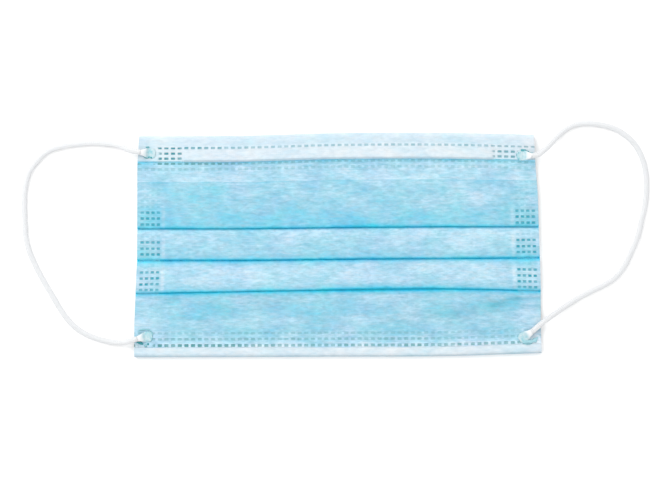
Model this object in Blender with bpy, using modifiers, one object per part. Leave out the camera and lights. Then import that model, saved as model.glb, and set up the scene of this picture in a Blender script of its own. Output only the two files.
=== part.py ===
"""Surgical face mask, lying flat with its front face up.

Metres, +Z up. X runs across the mask, Y from its bottom edge to its top edge.
The origin is under the middle of the folded body, on the surface that it lies on.
"""

import math

import bmesh
import bpy
from mathutils import Vector

# The folded body, seen from above.
BODY_WIDTH = 0.1776
BODY_HEIGHT = 0.0971
FIRST_FOLD_DROP = 0.0409
FOLD_SPACING = 0.0137
FOLDS = 3
PLEAT_DEPTH = 0.0100

# The bonded sheet, the clearance between its layers and how a stack of layers fans up at a fold.
WALL = 0.0010
LAYER_GAP = 0.0003
FOLD_LIFT = 0.0008
LIFT_POWER = 4
CHIN_RUN = 0.0140

# The white strips folded over the top and bottom edges.
TOP_HEM_WIDTH = 0.0112
BOTTOM_HEM_WIDTH = 0.0042

# The bendable strip inside the top hem.
WIRE_LENGTH = 0.1310
WIRE_WIDTH = 0.0036
WIRE_THICKNESS = 0.0006
WIRE_TO_HEM_EDGE = 0.0013
WIRE_SIDE_CLEARANCE = 0.0006
WIRE_RUN_OUT = 0.0012

# The elastic cord and its flattened, welded ends.
CORD_DIAMETER = 0.0024
CORD_REST_GAP = 0.00005
CORD_SIDES_RESOLUTION = 2
CORD_STEP = 2.0
END_LENGTH = 0.0064
END_WIDTH = 0.0044
END_THICKNESS = 0.0009
END_CENTRE = 0.45
END_SIDES = 16

# How finely the sheets are faceted.
COLUMNS = 14
TURN_STEPS = 4
RAMP_STEPS = 4

# How far each line across the front lies below its even place, as shares of the body's height,
# read at the left side, a quarter, the middle, three quarters and the right side.
LINE_BENDS = {
    # line          left    quarter  middle  3/4     right
    "top_edge":    (0.009,  0.007, -0.005, -0.007,  0.002),
    "fold_1":      (0.004,  0.004, -0.001, -0.005, -0.005),
    "fold_2":      (0.004,  0.004, -0.001, -0.004, -0.008),
    "fold_3":      (0.013,  0.004, -0.004, -0.009,  0.000),
    "bottom_edge": (0.004,  0.003,  0.001, -0.001, -0.015),
}

# Half widths to each side, as shares of half the body's width, at shares of its height.
SIDE_OUTLINE = (
    # down  left   right
    (0.00, 0.975, 0.960),
    (0.15, 0.985, 0.970),
    (0.28, 0.985, 0.981),
    (0.42, 0.985, 0.985),
    (0.57, 0.986, 0.991),
    (0.70, 0.993, 0.995),
    (0.86, 1.000, 0.995),
    (1.00, 1.000, 1.000),
)

# A flattened cord end's sections, from the cord's round end to the blade's tip. The width and the
# thickness run from the cord's own size at 0 to the blade's at 1, and the corner goes from round
# at 2 to nearly square.
END_SECTIONS = (
    # along  width  thickness  corner
    (0.00,   0.00,  0.00,      2.0),
    (0.18,   0.25,  0.30,      2.2),
    (0.36,   0.75,  0.80,      2.6),
    (0.52,   1.00,  1.00,      3.0),
    (0.78,   1.00,  1.00,      3.0),
    (0.92,   0.70,  1.10,      2.8),
    (1.00,  -0.10,  1.30,      2.4),
)

# Where each end is welded: in from the side edge, in from the top or bottom edge, and the heading
# in degrees in which the cord leaves it.
WELDS = (
    # name                     side  edge           from_side  from_edge  heading
    ("loop_end_top_left",      -1,   "top_edge",    0.0043,    0.0075,    175.0),
    ("loop_end_top_right",      1,   "top_edge",    0.0047,    0.0092,     -4.0),
    ("loop_end_bottom_left",   -1,   "bottom_edge", 0.0046,    0.0089,    192.0),
    ("loop_end_bottom_right",   1,   "bottom_edge", 0.0068,    0.0076,     34.0),
)

# The loops' routes as they lie, top weld to bottom weld: the place of the cord's middle and how
# far the cord is lifted off the surface.
LEFT_ROUTE = (
    # x       y       lift
    (-0.0908, 0.0414, 0.0032),
    (-0.0945, 0.0429, 0.0018),
    (-0.0989, 0.0438, 0.0005),
    (-0.1063, 0.0444, 0.0000),
    (-0.1137, 0.0439, 0.0000),
    (-0.1198, 0.0430, 0.0000),
    (-0.1250, 0.0415, 0.0000),
    (-0.1288, 0.0391, 0.0000),
    (-0.1318, 0.0358, 0.0000),
    (-0.1344, 0.0322, 0.0000),
    (-0.1359, 0.0277, 0.0000),
    (-0.1367, 0.0225, 0.0000),
    (-0.1368, 0.0168, 0.0000),
    (-0.1366, 0.0107, 0.0000),
    (-0.1362, 0.0041, 0.0000),
    (-0.1348, -0.0022, 0.0000),
    (-0.1320, -0.0088, 0.0000),
    (-0.1282, -0.0160, 0.0000),
    (-0.1247, -0.0219, 0.0000),
    (-0.1213, -0.0277, 0.0000),
    (-0.1180, -0.0323, 0.0000),
    (-0.1144, -0.0360, 0.0000),
    (-0.1097, -0.0390, 0.0000),
    (-0.1046, -0.0410, 0.0000),
    (-0.0992, -0.0423, 0.0001),
    (-0.0943, -0.0426, 0.0011),
    (-0.0912, -0.0420, 0.0020),
)
RIGHT_ROUTE = (
    # x       y       lift
    (0.0872, 0.0394, 0.0037),
    (0.0897, 0.0412, 0.0032),
    (0.0923, 0.0436, 0.0022),
    (0.0958, 0.0474, 0.0008),
    (0.1000, 0.0508, 0.0000),
    (0.1045, 0.0526, 0.0000),
    (0.1100, 0.0529, 0.0000),
    (0.1159, 0.0521, 0.0000),
    (0.1215, 0.0503, 0.0000),
    (0.1262, 0.0472, 0.0000),
    (0.1297, 0.0435, 0.0000),
    (0.1322, 0.0389, 0.0000),
    (0.1338, 0.0338, 0.0000),
    (0.1345, 0.0284, 0.0000),
    (0.1345, 0.0229, 0.0000),
    (0.1339, 0.0172, 0.0000),
    (0.1324, 0.0106, 0.0000),
    (0.1307, 0.0036, 0.0000),
    (0.1280, -0.0028, 0.0000),
    (0.1248, -0.0094, 0.0000),
    (0.1207, -0.0144, 0.0000),
    (0.1160, -0.0175, 0.0000),
    (0.1106, -0.0201, 0.0000),
    (0.1049, -0.0231, 0.0000),
    (0.0994, -0.0266, 0.0004),
    (0.0941, -0.0302, 0.0015),
    (0.0895, -0.0335, 0.0024),
)

# Layers of a stack, bottom to top, by the height of their middle.
LAYER_PITCH = WALL + LAYER_GAP
LOWER = WALL / 2
MIDDLE = LOWER + LAYER_PITCH
UPPER = MIDDLE + LAYER_PITCH
TURN_RADIUS = LAYER_PITCH / 2
HEM_TURN_RADIUS = LAYER_PITCH
HEM_TURN = HEM_TURN_RADIUS + WALL / 2
WIRE_RAISE = WIRE_THICKNESS + LAYER_GAP
WIRE_DROP = TOP_HEM_WIDTH - WIRE_TO_HEM_EDGE - WIRE_WIDTH / 2

highest_bend = min(LINE_BENDS["top_edge"])
lowest_bend = max(LINE_BENDS["bottom_edge"])
TOP_EVEN_Y = BODY_HEIGHT * (1 + lowest_bend + highest_bend) / 2


def smooth_step(share):
    """Turns a share from 0 to 1 into one that starts and ends level."""
    share = min(max(share, 0.0), 1.0)
    return share * share * (3 - 2 * share)


def smooth_curve(points, share):
    """Reads a smooth curve through evenly spaced vectors at a share from 0 to 1 of its spans."""
    spans = len(points) - 1
    place = min(max(share, 0.0), 1.0) * spans
    first = min(int(place), spans - 1)
    part = place - first
    before = points[first - 1] if first > 0 else points[0] * 2 - points[1]
    after = points[first + 2] if first + 2 <= spans else points[spans] * 2 - points[spans - 1]
    start = points[first]
    end = points[first + 1]
    return (start * 2 + (end - before) * part
            + (before * 2 - start * 5 + end * 4 - after) * part ** 2
            + (start * 3 - before - end * 3 + after) * part ** 3) / 2


def line_y(line, across):
    """Height up the mask of a named line at a share across it."""
    drops = {"top_edge": 0.0, "bottom_edge": BODY_HEIGHT}
    for fold in range(FOLDS):
        drops["fold_" + str(fold + 1)] = FIRST_FOLD_DROP + fold * FOLD_SPACING
    bends = [Vector((bend, 0, 0)) for bend in LINE_BENDS[line]]
    return TOP_EVEN_Y - drops[line] - smooth_curve(bends, across).x * BODY_HEIGHT


def side_x(side, y):
    """Place of the left (-1) or right (1) side edge at a height up the mask."""
    column = 1 if side < 0 else 2
    down = (TOP_EVEN_Y - y) / BODY_HEIGHT
    down = min(max(down, 0.0), 1.0)
    for upper, lower in zip(SIDE_OUTLINE, SIDE_OUTLINE[1:]):
        if down <= lower[0]:
            part = (down - upper[0]) / (lower[0] - upper[0])
            share = upper[column] + (lower[column] - upper[column]) * part
            return side * share * BODY_WIDTH / 2
    return side * SIDE_OUTLINE[-1][column] * BODY_WIDTH / 2


def place_across(across, y):
    """Place in X of a share across the mask at a height up it."""
    left = side_x(-1, y)
    return left + (side_x(1, y) - left) * across


def share_across(x):
    """Share across the mask of a place in X, at the nose wire's height."""
    wire_y = TOP_EVEN_Y - WIRE_DROP
    left = side_x(-1, wire_y)
    return (x - left) / (side_x(1, wire_y) - left)


def even_columns():
    """Shares across the mask of a sheet's evenly spaced sections."""
    return [column / (COLUMNS - 1) for column in range(COLUMNS)]


def wire_columns():
    """Even sections, with four more where a strip starts to cover the wire's ends."""
    columns = even_columns()
    for side in (-1, 1):
        for run in (WIRE_SIDE_CLEARANCE, WIRE_SIDE_CLEARANCE + WIRE_RUN_OUT):
            columns.append(share_across(side * (WIRE_LENGTH / 2 + run)))
    return sorted(columns)


def make_material(name, colour, roughness):
    """A plain material with the piece's colour."""
    material = bpy.data.materials.new(name)
    material.use_nodes = True
    shader = material.node_tree.nodes["Principled BSDF"]
    shader.inputs["Base Color"].default_value = (*colour, 1.0)
    shader.inputs["Roughness"].default_value = roughness
    shader.inputs["Metallic"].default_value = 0.0
    return material


def add_object(name, data, material):
    """Puts a mesh or curve in the mask's collection as a named object."""
    data.materials.append(material)
    piece = bpy.data.objects.new(name, data)
    mask.objects.link(piece)
    return piece


def make_sheet(name, columns, section, thickness, material):
    """A bent sheet: one section, a list of (y, z) places of its middle, at each column across."""
    sections = [section(across) for across in columns]
    rows = len(sections[0])
    build = bmesh.new()
    bmesh.ops.create_grid(build, x_segments=len(columns) - 1, y_segments=rows - 1, size=0.5)
    for vertex in build.verts:
        column = round((vertex.co.x + 0.5) * (len(columns) - 1))
        row = round((vertex.co.y + 0.5) * (rows - 1))
        y, z = sections[column][row]
        vertex.co = (place_across(columns[column], y), y, z)
    mesh = bpy.data.meshes.new(name)
    build.to_mesh(mesh)
    build.free()
    piece = add_object(name, mesh, material)
    wall = piece.modifiers.new("Wall", "SOLIDIFY")
    wall.thickness = thickness
    wall.offset = 0.0
    wall.use_even_offset = True
    return piece


def turn(centre_y, centre_z, radius, direction):
    """A half turn from the upper layer to the lower one, bulging toward +Y (1) or -Y (-1)."""
    places = []
    for step in range(TURN_STEPS + 1):
        angle = math.pi / 2 - math.pi * step / TURN_STEPS
        y = centre_y + direction * radius * math.cos(angle)
        places.append((y, centre_z + radius * math.sin(angle)))
    return places


def ramp(start, end):
    """Places between two (y, z) places, on a slope that starts and ends level."""
    places = []
    for step in range(1, RAMP_STEPS):
        share = step / RAMP_STEPS
        y = start[0] + (end[0] - start[0]) * share
        places.append((y, start[1] + (end[1] - start[1]) * smooth_step(share)))
    return places


def body_section(across):
    """The pleated body from its top edge to its bottom edge."""
    lift = FOLD_LIFT * (1 - abs(2 * across - 1) ** LIFT_POWER)
    top_y = line_y("top_edge", across)
    path = [(top_y - HEM_TURN, MIDDLE)]
    path.append((top_y - TOP_HEM_WIDTH, MIDDLE))
    for fold in range(FOLDS):
        fold_y = line_y("fold_" + str(fold + 1), across)
        stack_start = (fold_y + PLEAT_DEPTH + LAYER_GAP, UPPER)
        path.extend(ramp(path[-1], stack_start))
        path.append(stack_start)
        fold_centre = fold_y + WALL / 2 + TURN_RADIUS
        path.extend(turn(fold_centre, (UPPER + MIDDLE) / 2 + lift, TURN_RADIUS, -1))
        hidden_centre = fold_y + PLEAT_DEPTH - WALL / 2 - TURN_RADIUS
        path.extend(turn(hidden_centre, (MIDDLE + LOWER) / 2, TURN_RADIUS, 1))
        path.append((fold_y, LOWER + lift))
    chin_end = (path[-1][0] - CHIN_RUN, MIDDLE)
    path.extend(ramp(path[-1], chin_end))
    path.append(chin_end)
    path.append((line_y("bottom_edge", across) + HEM_TURN, MIDDLE))
    return path


def top_hem_section(across):
    """The top strip: front flap over the nose wire, round the body's edge, and back flap."""
    top_y = line_y("top_edge", across)
    past_end = abs(place_across(across, top_y)) - WIRE_LENGTH / 2 - WIRE_SIDE_CLEARANCE
    raised = UPPER + WIRE_RAISE * (1 - smooth_step(past_end / WIRE_RUN_OUT))
    half_pocket = WIRE_WIDTH / 2 + WIRE_SIDE_CLEARANCE
    wire_y = top_y - WIRE_DROP
    path = [(top_y - TOP_HEM_WIDTH, UPPER)]
    path.append((wire_y - half_pocket, raised))
    path.append((wire_y + half_pocket, raised))
    path.append((wire_y + half_pocket + WIRE_RUN_OUT, UPPER))
    path.extend(turn(top_y - HEM_TURN, MIDDLE, HEM_TURN_RADIUS, 1))
    path.append((top_y - TOP_HEM_WIDTH, LOWER))
    return path


def bottom_hem_section(across):
    """The bottom strip: front flap, round the body's edge, and back flap."""
    bottom_y = line_y("bottom_edge", across)
    path = [(bottom_y + BOTTOM_HEM_WIDTH, UPPER)]
    path.extend(turn(bottom_y + HEM_TURN, MIDDLE, HEM_TURN_RADIUS, -1))
    path.append((bottom_y + BOTTOM_HEM_WIDTH, LOWER))
    return path


def wire_section(across):
    """The nose wire's middle, between the body and the top hem's front flap."""
    wire_y = line_y("top_edge", across) - WIRE_DROP
    wire_z = MIDDLE + WALL / 2 + LAYER_GAP + WIRE_THICKNESS / 2
    return [(wire_y + WIRE_WIDTH / 2, wire_z), (wire_y - WIRE_WIDTH / 2, wire_z)]


def wire_shares():
    """Shares across the mask of the nose wire's own sections."""
    start = share_across(-WIRE_LENGTH / 2)
    end = share_across(WIRE_LENGTH / 2)
    return [start + (end - start) * share for share in even_columns()]


def weld_place(weld):
    """A welded end's middle on the mask, and the direction in which its cord leaves."""
    name, side, edge, from_side, from_edge, heading = weld
    inward = -1 if edge == "top_edge" else 1
    across = 0.0 if side < 0 else 1.0
    y = line_y(edge, across) + inward * from_edge
    surface = UPPER if edge == "top_edge" else MIDDLE
    z = surface + WALL / 2 + LAYER_GAP
    angle = math.radians(heading)
    place = Vector((side_x(side, y) - side * from_side, y, z))
    return place, Vector((math.cos(angle), math.sin(angle), 0))


def cord_start(weld):
    """Where the cord's middle line starts, one gap off the end's round face."""
    place, heading = weld_place(weld)
    start = place + heading * (END_LENGTH * END_CENTRE + LAYER_GAP)
    start.z += CORD_DIAMETER / 2
    return start


def make_loop_end(weld, material):
    """A cord end that goes from the round cord to a flat welded blade."""
    place, heading = weld_place(weld)
    sideways = Vector((-heading.y, heading.x, 0))
    round_end = place + heading * END_LENGTH * END_CENTRE
    build = bmesh.new()
    rings = []
    for along, width_share, thickness_share, corner in END_SECTIONS:
        width = CORD_DIAMETER + (END_WIDTH - CORD_DIAMETER) * width_share
        thickness = CORD_DIAMETER + (END_THICKNESS - CORD_DIAMETER) * thickness_share
        centre = round_end - heading * END_LENGTH * along
        centre.z += thickness / 2
        ring = []
        for step in range(END_SIDES):
            angle = 2 * math.pi * step / END_SIDES
            reach_y = math.copysign(abs(math.cos(angle)) ** (2 / corner), math.cos(angle))
            reach_z = math.copysign(abs(math.sin(angle)) ** (2 / corner), math.sin(angle))
            offset = sideways * reach_y * width / 2 + Vector((0, 0, reach_z * thickness / 2))
            ring.append(build.verts.new(centre + offset))
        rings.append(ring)
    for ring, following in zip(rings, rings[1:]):
        for step in range(END_SIDES):
            after = (step + 1) % END_SIDES
            build.faces.new((ring[step], following[step], following[after], ring[after]))
    build.faces.new(rings[0])
    build.faces.new(reversed(rings[-1]))
    bmesh.ops.recalc_face_normals(build, faces=build.faces)
    mesh = bpy.data.meshes.new(weld[0])
    build.to_mesh(mesh)
    build.free()
    mesh.shade_smooth()
    return add_object(weld[0], mesh, material)


def make_ear_loop(name, top_weld, bottom_weld, route, material):
    """A limp round cord from one weld to another, on a smooth curve through its route."""
    points = [cord_start(top_weld)]
    rest = CORD_DIAMETER / 2 + CORD_REST_GAP
    points.extend(Vector((x, y, rest + lift)) for x, y, lift in route)
    points.append(cord_start(bottom_weld))
    length = sum((end - start).length for start, end in zip(points, points[1:]))
    steps = round(length / (CORD_DIAMETER * CORD_STEP))
    curve = bpy.data.curves.new(name, "CURVE")
    curve.dimensions = "3D"
    curve.bevel_depth = CORD_DIAMETER / 2
    curve.bevel_resolution = CORD_SIDES_RESOLUTION
    curve.use_fill_caps = True
    spline = curve.splines.new("POLY")
    spline.points.add(steps)
    for step, point in enumerate(spline.points):
        point.co = (*smooth_curve(points, step / steps), 1.0)
    return add_object(name, curve, material)


for existing in list(bpy.data.objects):
    bpy.data.objects.remove(existing)

mask = bpy.data.collections.new("surgical_face_mask")
bpy.context.scene.collection.children.link(mask)

blue_nonwoven = make_material("blue_nonwoven", (0.36, 0.68, 0.84), 0.85)
white_nonwoven = make_material("white_nonwoven", (0.80, 0.89, 0.94), 0.85)
coated_wire = make_material("coated_wire", (0.85, 0.85, 0.85), 0.45)
white_elastic = make_material("white_elastic", (0.90, 0.91, 0.92), 0.80)

make_sheet("pleated_body", even_columns(), body_section, WALL, blue_nonwoven)
make_sheet("top_hem", wire_columns(), top_hem_section, WALL, white_nonwoven)
make_sheet("bottom_hem", even_columns(), bottom_hem_section, WALL, white_nonwoven)
make_sheet("nose_wire", wire_shares(), wire_section, WIRE_THICKNESS, coated_wire)
for weld in WELDS:
    make_loop_end(weld, white_elastic)
make_ear_loop("ear_loop_left", WELDS[0], WELDS[2], LEFT_ROUTE, white_elastic)
make_ear_loop("ear_loop_right", WELDS[1], WELDS[3], RIGHT_ROUTE, white_elastic)
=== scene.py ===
"""Surgical face mask, laid flat and seen from above, written as an add-on.

Metres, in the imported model's own frame: X across the mask, Y up it, Z out of its front face.
"""

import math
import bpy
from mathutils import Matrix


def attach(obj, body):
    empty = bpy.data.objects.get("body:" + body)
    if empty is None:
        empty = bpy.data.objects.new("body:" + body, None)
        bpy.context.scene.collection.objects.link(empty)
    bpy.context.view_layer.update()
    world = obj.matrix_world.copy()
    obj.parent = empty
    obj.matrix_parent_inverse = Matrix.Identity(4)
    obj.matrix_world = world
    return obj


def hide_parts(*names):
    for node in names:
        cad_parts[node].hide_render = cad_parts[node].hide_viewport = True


bl_info = {
    "name": "Surgical Face Mask",
    "version": (1, 0, 0),
    "blender": (4, 5, 0),
    "location": "View3D > Sidebar > Face Mask",
    "description": "Builds a pleated non-woven face mask with welded hems and ear loops",
    "category": "Add Mesh",
}

import bmesh
import bpy
import numpy as np
from bpy.props import FloatProperty, FloatVectorProperty, PointerProperty
from bpy.types import Operator, Panel, PropertyGroup
from mathutils import Vector, noise

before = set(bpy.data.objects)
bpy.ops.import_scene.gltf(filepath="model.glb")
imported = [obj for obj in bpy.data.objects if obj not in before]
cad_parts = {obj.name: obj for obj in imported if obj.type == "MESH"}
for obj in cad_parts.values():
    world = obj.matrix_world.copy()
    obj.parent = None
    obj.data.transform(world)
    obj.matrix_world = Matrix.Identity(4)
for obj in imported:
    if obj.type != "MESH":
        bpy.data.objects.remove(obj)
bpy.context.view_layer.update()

BODY = "root"
SHEET = "pleated_sheet"
FLOOR = "studio_floor"
CLOTH_UV = "cloth"
MM = 0.001

# The folded sheet, as its solid is folded.
BODY_WIDTH = 0.1776
BODY_HEIGHT = 0.0971
FIRST_FOLD_DROP = 0.0409
FOLD_SPACING = 0.0137
FOLD_NAMES = ("fold_1", "fold_2", "fold_3")
PLEAT_DEPTH = 0.0100
SOLID_WALL = 0.0010
LAYER_GAP = 0.0003
FOLD_LIFT = 0.0005
LIFT_POWER = 4
CHIN_RUN = 0.0140
TOP_HEM_WIDTH = 0.0112
BOTTOM_HEM_WIDTH = 0.0042
WIRE_LENGTH = 0.1310
WIRE_WIDTH = 0.0036
WIRE_THICKNESS = 0.0006
WIRE_TO_HEM_EDGE = 0.0013
WIRE_SIDE_CLEARANCE = 0.0006
WIRE_RUN_OUT = 0.0012

# Layers of a stack, by the height of their middle, and the turns between them.
LAYER_PITCH = SOLID_WALL + LAYER_GAP
LOWER = SOLID_WALL / 2
MIDDLE = LOWER + LAYER_PITCH
UPPER = MIDDLE + LAYER_PITCH
HEM_TURN_RADIUS = LAYER_PITCH
HEM_TURN = HEM_TURN_RADIUS + SOLID_WALL / 2
WIRE_RAISE = WIRE_THICKNESS + LAYER_GAP
WIRE_DROP = TOP_HEM_WIDTH - WIRE_TO_HEM_EDGE - WIRE_WIDTH / 2

# The real cloth is thinner than its solid, so its plies lie closer under the same top face.
HALF_PLY = 0.3 * MM
PLY_PITCH = 0.8 * MM
PLY_RADIUS = PLY_PITCH / 2
PLY_MIDDLE = UPPER - PLY_PITCH
PLY_LOWER = UPPER - 2 * PLY_PITCH
HEM_TOP = UPPER + 0.35 * MM
SHEET_TOP = 2.4 * MM
UNDER_HEM = 2.1 * MM

# How finely the cloth, the loop ends and the cords are meshed.
TURN_STEPS = 8
RAMP_STEPS = 6
COLUMN_SPACING = 1.1 * MM
SIDE_COLUMN_SPACING = 0.7 * MM
SIDE_ZONE = 14 * MM
ROW_SPACING = 1.2 * MM
CUT_EDGE = 0.15 * MM
LEAST_SPACING = 0.25 * MM
WIRE_COLUMNS = 60
END_RINGS = 28
END_SIDES = 32
CORD_RING_SPACING = 0.5 * MM
CORD_SIDES = 20

# The photo's field of view on the floor: its width and where its middle is.
PICTURE_WIDTH = 0.2902
PICTURE_MIDDLE = (-0.0024, -0.00175)
SENSOR_WIDTH = 36.0

# The studio: half the floor's width, the white room's light and the window's.
FLOOR_HALF = 2.0
ROOM_LIGHT = 1.21
WINDOW_SIZE = 1.2
WINDOW_POWER = 10.7
WINDOW_PLACE = (-0.70, 0.85, 1.0)

# How far each line across the front lies below its even place, as shares of the body's height.
LINE_BENDS = {
    # line          left    quarter  middle  3/4     right
    "top_edge":    (0.009,  0.007, -0.005, -0.007,  0.002),
    "fold_1":      (0.004,  0.004, -0.001, -0.005, -0.005),
    "fold_2":      (0.004,  0.004, -0.001, -0.004, -0.008),
    "fold_3":      (0.013,  0.004, -0.004, -0.009,  0.000),
    "bottom_edge": (0.004,  0.003,  0.001, -0.001, -0.015),
}

# Half widths to each side, as shares of half the body's width, at shares of its height.
SIDE_OUTLINE = (
    # down  left   right
    (0.00, 0.975, 0.960),
    (0.15, 0.985, 0.970),
    (0.28, 0.985, 0.981),
    (0.42, 0.985, 0.985),
    (0.57, 0.986, 0.991),
    (0.70, 0.993, 0.995),
    (0.86, 1.000, 0.995),
    (1.00, 1.000, 1.000),
)

# The ultrasonic welds are rows of short dashes at one pitch, from the horn's toothed wheel.
DASH_PITCH = 2.903 * MM
FIRST_DASH_X = -86.37 * MM
DASH_FLAT = 0.70 * MM
DASH_EDGE = 1.02 * MM
DENT = 0.28 * MM

# Rows of dashes across the sheet: how far each lies below a line, its half height, and how
# strongly the film has melted at the left, in the middle and at the right.
SHEET_ROWS = (
    # from         below        half height  left   middle  right
    ("hem_edge",     1.05 * MM, 0.34 * MM,   0.80,  0.36,   0.34),
    ("hem_edge",     3.60 * MM, 0.44 * MM,   0.34,  0.30,   0.26),
    ("bottom_edge", -8.70 * MM, 0.34 * MM,   0.32,  0.36,   0.26),
    ("bottom_edge", -6.10 * MM, 0.36 * MM,   0.55,  0.54,   0.36),
    ("bottom_edge", -3.35 * MM, 0.46 * MM,   1.00,  0.74,   0.66),
)
# The bottom rows keep their distance from the edge within this height above it.
BOTTOM_ROWS_ZONE = 9.8 * MM

# Where the horn that welded the cords' ends has smoothed the dashes out.
SMOOTHED = (
    # x       y        radius
    (-0.0830,  0.0395, 0.0048),
    (-0.0840, -0.0430, 0.0030),
    (0.0845,  -0.0425, 0.0040),
)

# The welds that hold the pleats at both sides: columns in from the side edges, and rows above
# each fold's edge, in millimetres, with their strength. Rows at negative distances lie on the
# plies folded under it.
SIDE_DASH_FLAT = 0.48 * MM
SIDE_DASH_EDGE = 0.88 * MM
SIDE_ROWS = {
    "fold_1": (
        (19.9, 0.14), (17.3, 0.16), (14.7, 0.16), (12.0, 0.18), (9.40, 0.26), (6.85, 0.85),
        (4.30, 0.95), (1.65, 0.95),
    ),
    "fold_2": (
        (10.1, 0.20), (7.60, 0.85), (4.85, 0.95), (2.35, 0.95),
    ),
    "fold_3": (
        (11.4, 0.16), (9.00, 0.85), (6.35, 0.95), (3.80, 0.90), (1.35, 0.80), (-3.0, 0.12),
        (-5.6, 0.14), (-8.2, 0.14), (-10.8, 0.12),
    ),
}
SIDE_ROW_HALF = 0.36 * MM
SIDE_FIRST = 2.2 * MM
SIDE_PITCH = 2.37 * MM
SIDE_GRID_START = 0.8 * MM
SIDE_GRID_END = 10.6 * MM
SIDE_GRID_FADES = (0.4 * MM, 0.6 * MM)

# Tone of the cloth away from the lines, and the least tone of cloth pressed in the grid.
PLAIN_TONE = 0.62
PRESSED_TONE = 0.38

# The painted highlight along the puffed ridge beside the grid, how softly a row of dashes ends,
# from which share of the half width rows change their strength, and over what share they do.
RIDGE_FROM_SIDE = 11.4 * MM
RIDGE_REACH = 0.8 * MM
RIDGE_HIGHLIGHT = 0.12
ROW_EDGE = 0.22 * MM
ROW_MIDDLE = 0.40
SHEET_ROW_CHANGE = 0.20
HEM_ROW_CHANGE = 0.50

# Soft waves of the sheet: how high, their lumps' sizes across and up, seed and share, and how
# they fade toward the side edges, the top strip and the bottom edge.
UNDULATION = 0.7 * MM
WAVES = (
    # across  up     seed  share
    (0.034,   0.011, 3.1,  1.0),
    (0.013,   0.008, 8.4,  0.5),
)
LOOSE_FROM_SIDE = 9 * MM
LOOSE_SIDE_FADE = 14 * MM
LOOSE_TOP_FADE = 8 * MM
LOOSE_FROM_BOTTOM = 9 * MM
LOOSE_BOTTOM_FADE = 9 * MM

# Painted light, raising the cloth's colour in the shade below each line in place of light that
# comes through the thin cloth: its share of the light, and how far below the line it reaches.
PAINTED_LIGHT_BELOW_LINES = {
    # line       light  reach
    "hem_edge": (0.70,  0.90 * MM),
    "fold_1":   (0.95,  0.70 * MM),
    "fold_2":   (0.95,  0.70 * MM),
    "fold_3":   (0.85,  0.75 * MM),
}
# The same painted light above the bottom strip, and the painted shade that darkens that strip's
# turned edge.
PAINTED_LIGHT_AT_HEM = 0.30
HEM_SHADE = 1.3 * MM
PAINTED_RIM_SHADE = -0.17
RIM_HALF = 0.8 * MM
RIM_FADE = 0.7 * MM

# Rows of dashes on the top hem: drop below its top edge, half height, strength at the left, in
# the middle and at the right, and whether the row runs across or only holds the strip's ends.
HEM_ROWS = (
    # drop       half height  left   middle  right  across
    (5.25 * MM,  0.32 * MM,   1.05,  0.54,   0.58,  True),
    (7.62 * MM,  0.33 * MM,   1.00,  0.00,   0.84,  False),
    (9.80 * MM,  0.34 * MM,   1.05,  0.00,   0.84,  False),
)
WIRE_STOP_DASHES = 4

# Distance down the cloth round the hem's edge, less the drop there.
TURN_EXTRA = HEM_TURN_RADIUS * (math.pi / 2 - 1)

# Tones of the white strips, at millimetres below the top edge and at millimetres along the
# cloth above the bottom edge.
HEM_TONES = (
    (0.00, 0.87), (1.50, 0.86), (3.50, 0.845), (4.80, 0.87), (6.20, 0.89), (9.60, 0.89),
    (10.7, 0.86), (11.2, 0.80),
)
# How strongly the strips' web varies, as a share of the blue sheet's.
HEM_UNEVEN = 0.55
# The bottom strip's tones dip at its edge, where it turns under: painted shade.
BOTTOM_HEM_TONES = (
    (-1.5, 0.88), (0.00, 0.68), (0.50, 0.80), (1.20, 0.87), (3.60, 0.89), (4.60, 0.86),
)

# The studio's light is this bright on the level floor, which whites it out as in the photo. The
# cloth's colours are given as they look in that light.
LIGHT = 1.55
SEEN = 1 / LIGHT

# The web's noises: how finely they vary across, up and out of the cloth, in waves per metre,
# and their detail, roughness and distortion. Streaks and clouds change the tone and the fibres
# the brightness, each by a share. The bonds lie where two slanting waves cross.
WEBS = (
    # scales         detail  roughness  distortion
    ((230, 1250, 1), 5.0,    0.62,      1.0),
    ((62, 135, 1),   4.0,    0.60,      0.0),
    ((280, 680, 1),  3.0,    0.60,      0.4),
)
STREAKS = 0.095
CLOUDS = 0.12
GRAIN = 0.13
BOND_WAVES = 3500
CLOTH_ROUGHNESS = 0.82
FILM_ROUGHNESS = 0.42

# Colours of the cloth by tone. The deepest stops colour the painted shade at the folds' edges.
TONE_COLOURS = (
    (0.16, "#08BCE0"),
    (0.22, "#2CC6EA"),
    (0.36, "#5FCEEE"),
    (0.50, "#80D4F0"),
    (0.61, "#9BD6EE"),
    (0.67, "#AADCF2"),
    (0.745, "#BEE5FA"),
    (0.90, "#E6F4FD"),
    (1.00, "#FBFDFF"),
)

# The cords' knit, and the ridges pressed across their flat ends.
KNIT_RIB = 0.75 * MM
KNIT_STITCH = 0.9 * MM
END_RIDGE = 0.12 * MM
END_RIDGE_PITCH = 0.95 * MM
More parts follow.
